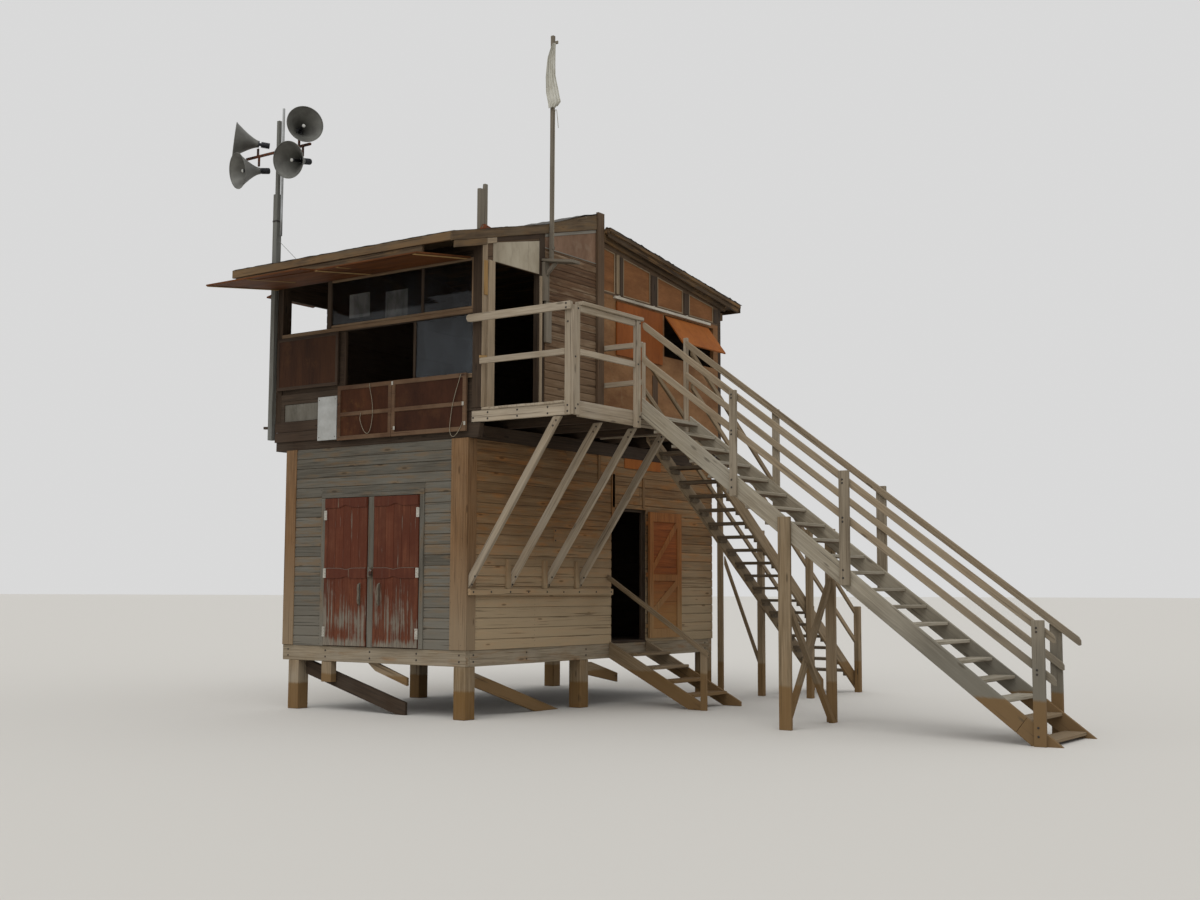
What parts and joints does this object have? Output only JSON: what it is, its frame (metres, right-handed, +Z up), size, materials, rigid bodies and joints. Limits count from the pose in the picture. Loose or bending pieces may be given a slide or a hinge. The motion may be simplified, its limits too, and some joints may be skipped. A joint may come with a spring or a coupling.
{
  "type": "lifeguard tower",
  "caption": "Raised timber beach watch cabin over a store hut, with a side balcony, stairs down two ways, front and side doors, a roof, horn speakers on a mast and a flagpole.",
  "frame": {"origin": "middle of the foot of the near corner post, on the ground", "axes": "+X from the near corner along the front, towards the balcony and the foot of the main stair; +Y from the front wall to the rear; +Z up"},
  "size_m": [11.1576, 8.951, 9.04],
  "materials": {
    "grey_timber": "weathered grey-brown sawn timber",
    "wall_boards": "weathered horizontal boards",
    "dark_timber": "dark stained timber, worn",
    "plywood": "orange-brown stained plywood",
    "red_paint": "dark red paint, worn",
    "door_boards": "orange-brown stained boards",
    "glass": "clear sheet glass, dusty",
    "sign_white": "plain off-white sheet, stained",
    "roofing": "dark bituminous felt over boards",
    "mast_timber": "weathered round and square poles",
    "arm_metal": "rusted steel bar",
    "horn_metal": "dull grey paint with rust",
    "driver_metal": "dark grey paint on ribbed housings",
    "cloth": "off-white woven cloth",
    "rope": "thin natural fibre rope"
  },
  "bodies": {
    "tower": {"foundation_posts": "grey_timber", "under_braces": "grey_timber", "sill_beams": "grey_timber", "hut_floor": "grey_timber", "hut_corner_boards": "wall_boards", "front_wall": "wall_boards", "side_wall": "wall_boards", "back_walls": "wall_boards", "front_door_frame": "grey_timber", "side_door_frame": "dark_timber", "side_steps": "grey_timber", "side_steps_rail": "grey_timber", "hut_top_beams": "dark_timber", "floor_joists": "dark_timber", "cabin_floor": "dark_timber", "balcony_deck": "grey_timber", "brace_ledger": "grey_timber", "balcony_braces": "grey_timber", "balcony_beams": "grey_timber", "balcony_posts": "grey_timber", "balcony_rails": "grey_timber", "cabin_posts": "dark_timber", "cabin_front_boards": "dark_timber", "front_window_frames": "dark_timber", "front_glass": "glass", "front_shutters": "plywood", "sign_board": "sign_white", "front_awnings": "plywood", "cabin_side_wall": "plywood", "side_shutter": "plywood", "side_awning": "plywood", "cabin_left_wall": "dark_timber", "left_awning": "plywood", "cabin_rear_wall": "dark_timber", "roof_slopes": "roofing", "roof_fascias": "dark_timber", "main_stringers": "grey_timber", "main_treads": "grey_timber", "main_posts": "grey_timber", "main_rails": "grey_timber", "main_supports": "grey_timber", "rear_stringers": "grey_timber", "rear_treads": "grey_timber", "rear_rails": "grey_timber", "rear_supports": "grey_timber", "speaker_mast": "mast_timber", "speaker_arms": "arm_metal", "speaker_horns": "horn_metal", "speaker_drivers": "driver_metal", "flagpole": "mast_timber", "flag": "cloth", "halyard": "rope", "shutter_rope_left": "rope", "shutter_rope_right": "rope"},
    "left_leaf": {"front_door_left": "red_paint"},
    "right_leaf": {"front_door_right": "red_paint"},
    "side_leaf": {"side_door": "door_boards"}
  },
  "joints": [
    {"name": "front_door_left_hinge", "type": "hinge", "parent": "tower", "child": "left_leaf", "pos_m": [-2.33, -0.132, 1.8], "axis": [0, 0, 1], "range_deg": [-110, 0]},
    {"name": "front_door_right_hinge", "type": "hinge", "parent": "tower", "child": "right_leaf", "pos_m": [-0.662, -0.132, 1.8], "axis": [0, 0, 1], "range_deg": [0, 110]},
    {"name": "side_door_hinge", "type": "hinge", "parent": "tower", "child": "side_leaf", "pos_m": [0.115, 3.86, 1.8], "axis": [0, 0, 1], "range_deg": [-180, 0]}
  ]
}
